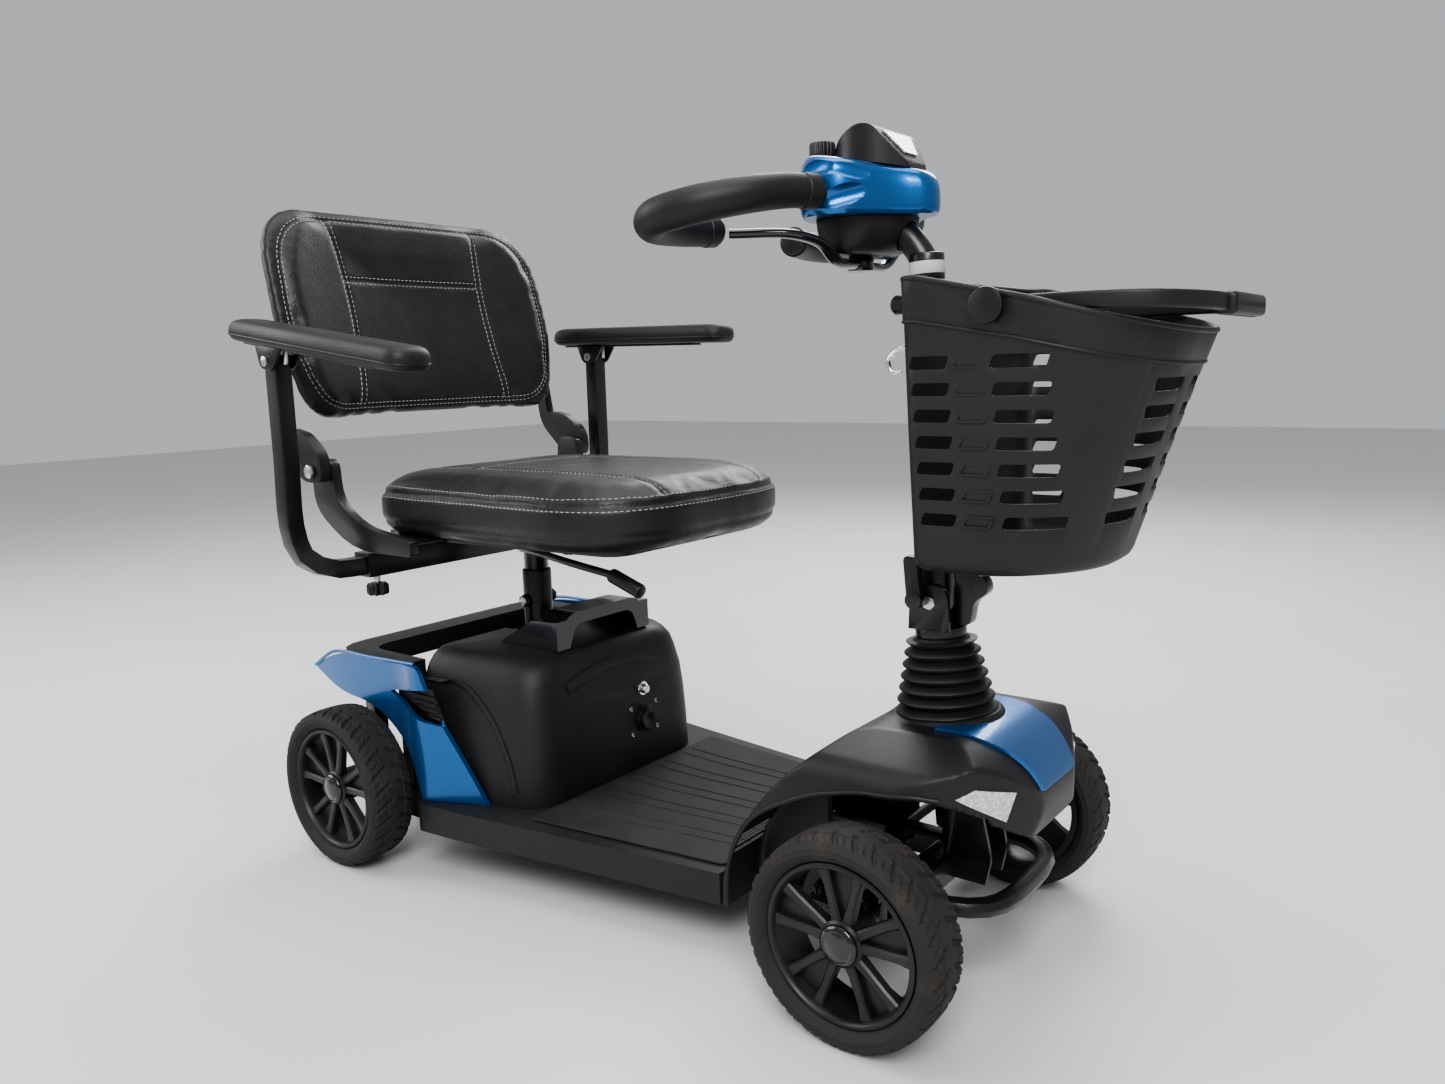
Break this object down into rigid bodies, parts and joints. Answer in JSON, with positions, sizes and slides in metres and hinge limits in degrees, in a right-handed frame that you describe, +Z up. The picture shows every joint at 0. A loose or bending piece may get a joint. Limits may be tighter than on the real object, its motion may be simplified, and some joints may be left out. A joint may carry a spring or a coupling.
{
  "type": "mobility scooter",
  "caption": "Four-wheeled mobility scooter with swivelling padded seat, flip-up armrests, folding tiller with loop grips, front basket and lift-off battery box.",
  "frame": {"origin": "on the floor, under the middle of the scooter's overall length and width", "axes": "+X towards the front, +Y towards the rider's left, +Z up"},
  "size_m": [1.1434, 0.592, 0.838],
  "materials": {
    "blue_body": "metallic blue clear-coated moulding",
    "black_plastic": "fine-grained moulded black",
    "gloss_black": "polished black moulding",
    "deck_rubber": "ribbed floor mat",
    "leatherette": "satin black leatherette with pale stitching",
    "tyre_rubber": "dusty dark grey tread",
    "soft_rubber": "matt black moulded rubber",
    "painted_steel": "satin black powder coat",
    "zinc": "zinc-plated",
    "cast_alloy": "dull cast alloy"
  },
  "bodies": {
    "chassis": {"front_frame": "painted_steel", "rear_frame": "painted_steel", "deck_tray": "black_plastic", "deck_mat": "deck_rubber", "front_shroud": "black_plastic", "bonnet_panel": "blue_body", "fender_right": "blue_body", "fender_left": "blue_body", "rear_hoop": "black_plastic", "transaxle": "cast_alloy", "drive_motor": "painted_steel", "motor_controller": "cast_alloy"},
    "battery_box": {"battery_case": "black_plastic", "battery_tray": "black_plastic", "battery_handle": "gloss_black", "battery_right": "gloss_black", "battery_left": "gloss_black"},
    "port_cap": {"charge_port_cap": "soft_rubber"},
    "breaker": {"breaker_button": "zinc"},
    "tie_rod": {"tie_rod": "painted_steel"},
    "steering": {"steering_column": "painted_steel", "steering_bellows": "soft_rubber"},
    "tiller": {"tiller_tube": "painted_steel", "head_lower": "black_plastic", "head_upper": "blue_body", "head_cowl": "black_plastic", "grip_right": "soft_rubber", "grip_left": "soft_rubber"},
    "cam_lever": {"cam_lever": "painted_steel"},
    "fold_latch": {"fold_latch": "painted_steel"},
    "basket": {"basket": "black_plastic"},
    "basket_handle": {"basket_handle": "black_plastic"},
    "speed_dial": {"speed_dial": "black_plastic"},
    "ignition_key": {"ignition_key": "zinc"},
    "throttle": {"throttle_lever": "gloss_black"},
    "seat_post": {"seat_post": "painted_steel"},
    "seat": {"seat_pan": "painted_steel", "seat_cushion": "leatherette"},
    "seat_lever": {"seat_lever": "painted_steel"},
    "back": {"backrest_cushion": "leatherette", "back_bracket_right": "black_plastic", "back_bracket_left": "black_plastic"},
    "rear_wheel_right": {"rear_tyre_right": "tyre_rubber", "rear_rim_right": "black_plastic", "half_shaft_right": "zinc"},
    "front_wheel_right": {"front_tyre_right": "tyre_rubber", "front_rim_right": "black_plastic"},
    "knuckle_right": {"knuckle_right": "painted_steel"},
    "arm_post_right": {"armrest_post_right": "painted_steel"},
    "armrest_right": {"armrest_right": "black_plastic"},
    "clamp_knob_right": {"clamp_knob_right": "black_plastic"},
    "rear_wheel_left": {"rear_tyre_left": "tyre_rubber", "rear_rim_left": "black_plastic", "half_shaft_left": "zinc"},
    "front_wheel_left": {"front_tyre_left": "tyre_rubber", "front_rim_left": "black_plastic"},
    "knuckle_left": {"knuckle_left": "painted_steel"},
    "arm_post_left": {"armrest_post_left": "painted_steel"},
    "armrest_left": {"armrest_left": "black_plastic"},
    "clamp_knob_left": {"clamp_knob_left": "black_plastic"}
  },
  "joints": [
    {"name": "steer", "type": "hinge", "parent": "chassis", "child": "steering", "pos_m": [0.30169, 0, 0.262], "axis": [-0.0872, 0, 0.9962], "range_deg": [-35, 35]},
    {"name": "knuckle_right_turn", "type": "hinge", "parent": "chassis", "child": "knuckle_right", "pos_m": [0.30269, -0.149, 0.1], "axis": [0, 0, 1], "range_deg": [-35, 35]},
    {"name": "front_wheel_right_spin", "type": "hinge", "parent": "knuckle_right", "child": "front_wheel_right", "pos_m": [0.30269, -0.194, 0.1], "axis": [0, 1, 0], "continuous": true},
    {"name": "knuckle_left_turn", "type": "hinge", "parent": "chassis", "child": "knuckle_left", "pos_m": [0.30269, 0.149, 0.1], "axis": [0, 0, 1], "range_deg": [-35, 35]},
    {"name": "front_wheel_left_spin", "type": "hinge", "parent": "knuckle_left", "child": "front_wheel_left", "pos_m": [0.30269, 0.194, 0.1], "axis": [0, 1, 0], "continuous": true},
    {"name": "tie_rod_slide", "type": "slide", "parent": "chassis", "child": "tie_rod", "axis": [0, 1, 0], "range_m": [-0.0385, 0.0385]},
    {"name": "rear_wheel_right_spin", "type": "hinge", "parent": "chassis", "child": "rear_wheel_right", "pos_m": [-0.41731, -0.23, 0.1], "axis": [0, 1, 0], "continuous": true},
    {"name": "rear_wheel_left_spin", "type": "hinge", "parent": "chassis", "child": "rear_wheel_left", "pos_m": [-0.41731, 0.23, 0.1], "axis": [0, 1, 0], "continuous": true},
    {"name": "tiller_fold", "type": "hinge", "parent": "steering", "child": "tiller", "pos_m": [0.29193, 0, 0.37357], "axis": [0, -1, 0], "range_deg": [0, 32]},
    {"name": "cam_lever_turn", "type": "hinge", "parent": "steering", "child": "cam_lever", "pos_m": [0.28193, -0.03, 0.37757], "axis": [0, -1, 0], "range_deg": [0, 90]},
    {"name": "fold_latch_turn", "type": "hinge", "parent": "steering", "child": "fold_latch", "pos_m": [0.31893, 0, 0.36157], "axis": [0, 1, 0], "range_deg": [0, 25], "stiffness_Nm_per_rad": 0.2},
    {"name": "throttle_turn", "type": "hinge", "parent": "tiller", "child": "throttle", "pos_m": [0.20469, 0, 0.709], "axis": [0, 0, 1], "range_deg": [-15, 15], "stiffness_Nm_per_rad": 0.8},
    {"name": "speed_dial_turn", "type": "hinge", "parent": "tiller", "child": "speed_dial", "pos_m": [0.17669, -0.026, 0.82], "axis": [0, 0, 1], "range_deg": [0, 270]},
    {"name": "ignition_key_turn", "type": "hinge", "parent": "tiller", "child": "ignition_key", "pos_m": [0.15269, 0.024, 0.778], "axis": [-1, 0, 0], "range_deg": [0, 90]},
    {"name": "basket_lift", "type": "slide", "parent": "tiller", "child": "basket", "axis": [-0.0368, 0, 0.9993], "range_m": [0, 0.1]},
    {"name": "basket_handle_turn", "type": "hinge", "parent": "basket", "child": "basket_handle", "pos_m": [0.40569, 0, 0.654], "axis": [0, -1, 0], "range_deg": [0, 95]},
    {"name": "seat_post_slide", "type": "slide", "parent": "chassis", "child": "seat_post", "axis": [0, 0, 1], "range_m": [0, 0.4]},
    {"name": "seat_swivel", "type": "hinge", "parent": "seat_post", "child": "seat", "pos_m": [-0.29631, 0, 0.4], "axis": [0, 0, 1], "continuous": true},
    {"name": "seat_lever_lift", "type": "hinge", "parent": "seat", "child": "seat_lever", "pos_m": [-0.25731, -0.055, 0.392], "axis": [0, -1, 0], "range_deg": [0, 4], "stiffness_Nm_per_rad": 1},
    {"name": "back_fold", "type": "hinge", "parent": "seat", "child": "back", "pos_m": [-0.43531, 0, 0.498], "axis": [0, 1, 0], "range_deg": [0, 90]},
    {"name": "arm_post_right_slide", "type": "slide", "parent": "seat", "child": "arm_post_right", "axis": [0, -1, 0], "range_m": [0, 0.05]},
    {"name": "armrest_right_flip", "type": "hinge", "parent": "arm_post_right", "child": "armrest_right", "pos_m": [-0.42931, -0.268, 0.632], "axis": [0, -1, 0], "range_deg": [0, 95]},
    {"name": "clamp_knob_right_turn", "type": "hinge", "parent": "seat", "child": "clamp_knob_right", "pos_m": [-0.40531, -0.172, 0.35], "axis": [0, 0, 1], "range_deg": [0, 180]},
    {"name": "arm_post_left_slide", "type": "slide", "parent": "seat", "child": "arm_post_left", "axis": [0, 1, 0], "range_m": [0, 0.05]},
    {"name": "armrest_left_flip", "type": "hinge", "parent": "arm_post_left", "child": "armrest_left", "pos_m": [-0.42931, 0.268, 0.632], "axis": [0, -1, 0], "range_deg": [0, 88]},
    {"name": "clamp_knob_left_turn", "type": "hinge", "parent": "seat", "child": "clamp_knob_left", "pos_m": [-0.40531, 0.172, 0.35], "axis": [0, 0, 1], "range_deg": [0, 180]},
    {"name": "battery_lift", "type": "slide", "parent": "chassis", "child": "battery_box", "axis": [0, 0, 1], "range_m": [0, 0.04]},
    {"name": "port_cap_turn", "type": "hinge", "parent": "battery_box", "child": "port_cap", "pos_m": [-0.14591, 0.042, 0.179], "axis": [0, -1, 0], "range_deg": [0, 110]},
    {"name": "breaker_press", "type": "slide", "parent": "battery_box", "child": "breaker", "axis": [-1, 0, 0], "range_m": [0, 0.003], "stiffness_N_per_m": 300}
  ],
  "couplings": [
    {"joint": "knuckle_right_turn", "follows": "steer", "ratio": 1},
    {"joint": "knuckle_left_turn", "follows": "steer", "ratio": 1},
    {"joint": "tie_rod_slide", "follows": "steer", "m_per_rad": -0.062}
  ]
}
